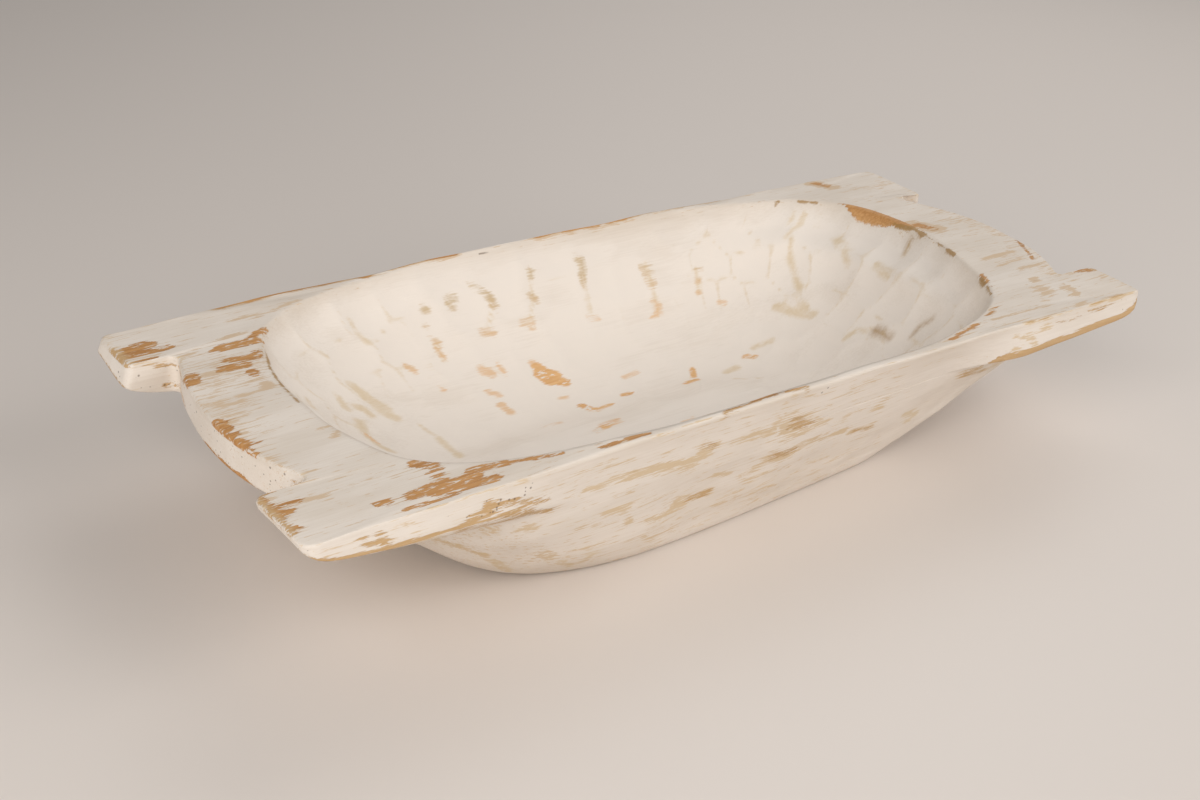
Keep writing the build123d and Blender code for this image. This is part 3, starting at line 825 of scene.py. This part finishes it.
# Relief: brush lines on the paint, and the paint's own thickness at the edge of a bare patch. The wood is a
# little smoother than the paint.
PAINT_THICK, BRUSH_LIFT, BARE_DROP = 0.3, 0.6, 0.6
PAINT_ROUGH, WOOD_ROUGH = 0.72, 0.58
lift = node(tree, "ShaderNodeMath", {0: field["brush"], 1: BRUSH_LIFT}, operation="MULTIPLY").outputs[0]
relief = node(tree, "ShaderNodeMath", {0: gone, 1: -BARE_DROP, 2: lift}, operation="MULTIPLY_ADD").outputs[0]
bump = node(tree, "ShaderNodeBump", {"Strength": 0.7, "Distance": PAINT_THICK * MM, "Height": relief})
rough = node(tree, "ShaderNodeMapRange", {"Value": gone, "To Min": PAINT_ROUGH, "To Max": WOOD_ROUGH})
shader = node(tree, "ShaderNodeBsdfPrincipled", {
    "Base Color": surface, "Roughness": rough.outputs["Result"], "Specular IOR Level": 0.3,
    "Normal": bump.outputs["Normal"],
})
node(tree, "ShaderNodeOutputMaterial", {"Surface": shader.outputs["BSDF"]})
mesh.materials.append(finish)
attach(bowl, "root")
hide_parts("carved_bowl")


# Floor
# A wide sheet of pale satin card that the bowl stands on, flat to well beyond the picture's edges.
# Half its width is in metres.
FLOOR_HALF = 20.0
CARD = "#DDD3CA"
floor_corners = [(-FLOOR_HALF, -FLOOR_HALF, 0), (FLOOR_HALF, -FLOOR_HALF, 0),
                 (FLOOR_HALF, FLOOR_HALF, 0), (-FLOOR_HALF, FLOOR_HALF, 0)]
floor_mesh = bpy.data.meshes.new("floor")
floor_mesh.from_pydata(floor_corners, [], [(0, 1, 2, 3)])
card = bpy.data.materials.new("pale_satin_card")
card.use_nodes = True
card_shader = card.node_tree.nodes["Principled BSDF"]
card_shader.inputs["Base Color"].default_value = colour(CARD)
card_shader.inputs["Roughness"].default_value = 0.45
card_shader.inputs["Specular IOR Level"].default_value = 0.3
floor_mesh.materials.append(card)
floor = bpy.data.objects.new("floor", floor_mesh)
bpy.context.scene.collection.objects.link(floor)


# Light
# A soft box on the right in front, one low on the left and a weaker one behind on the right, all turned to
# the bowl, in a white room. Places and sizes are in metres.
LAMPS = {
    "front": dict(at=(1.29, -1.84, 1.3), size=1.6, watts=31.0),
    "left": dict(at=(-1.5, -0.9, 1.0), size=1.6, watts=28.0),
    "back": dict(at=(1.3, 0.9, 1.5), size=1.6, watts=13.5),
}
for name, lamp in LAMPS.items():
    data = bpy.data.lights.new(name, "AREA")
    data.size = lamp["size"]
    data.energy = lamp["watts"]
    light = bpy.data.objects.new(name, data)
    light.location = lamp["at"]
    light.rotation_mode = "QUATERNION"
    light.rotation_quaternion = (-light.location).to_track_quat("-Z", "Y")
    bpy.context.scene.collection.objects.link(light)
ROOM = "#F2F2F4"
world = bpy.data.worlds.new("room")
world.use_nodes = True
world.node_tree.nodes["Background"].inputs["Color"].default_value = colour(ROOM)
world.node_tree.nodes["Background"].inputs["Strength"].default_value = 0.20
bpy.context.scene.world = world


# Camera
# Standing off the near left corner and looking down along the bowl, a little rolled, as the photograph has
# it. The lens and the frame's width are in the photograph's pixels, the turns in radians, the rest in
# millimetres.
LENS_PIXELS, FRAME_WIDTH, SENSOR = 1620.0, 1200.0, 36.0
YAW, PITCH, ROLL = 0.66118, 0.48398, -0.06947
STAND = (-647.4, -777.6, 570.6)
ahead = np.array([np.sin(YAW) * np.cos(PITCH), np.cos(YAW) * np.cos(PITCH), -np.sin(PITCH)])
level_right = np.array([np.cos(YAW), -np.sin(YAW), 0.0])
level_down = np.cross(ahead, level_right)
rightwards = np.cos(ROLL) * level_right + np.sin(ROLL) * level_down
downwards = np.cos(ROLL) * level_down - np.sin(ROLL) * level_right
stand = np.eye(4)
stand[:3] = np.column_stack([rightwards, -downwards, -ahead, np.array(STAND) * MM])
camera_data = bpy.data.cameras.new("camera")
camera_data.sensor_width = SENSOR
camera_data.lens = SENSOR * LENS_PIXELS / FRAME_WIDTH
camera = bpy.data.objects.new("camera", camera_data)
camera.matrix_world = Matrix(stand.tolist())
bpy.context.scene.collection.objects.link(camera)
bpy.context.scene.camera = camera
bpy.context.scene.view_settings.view_transform = "Standard"
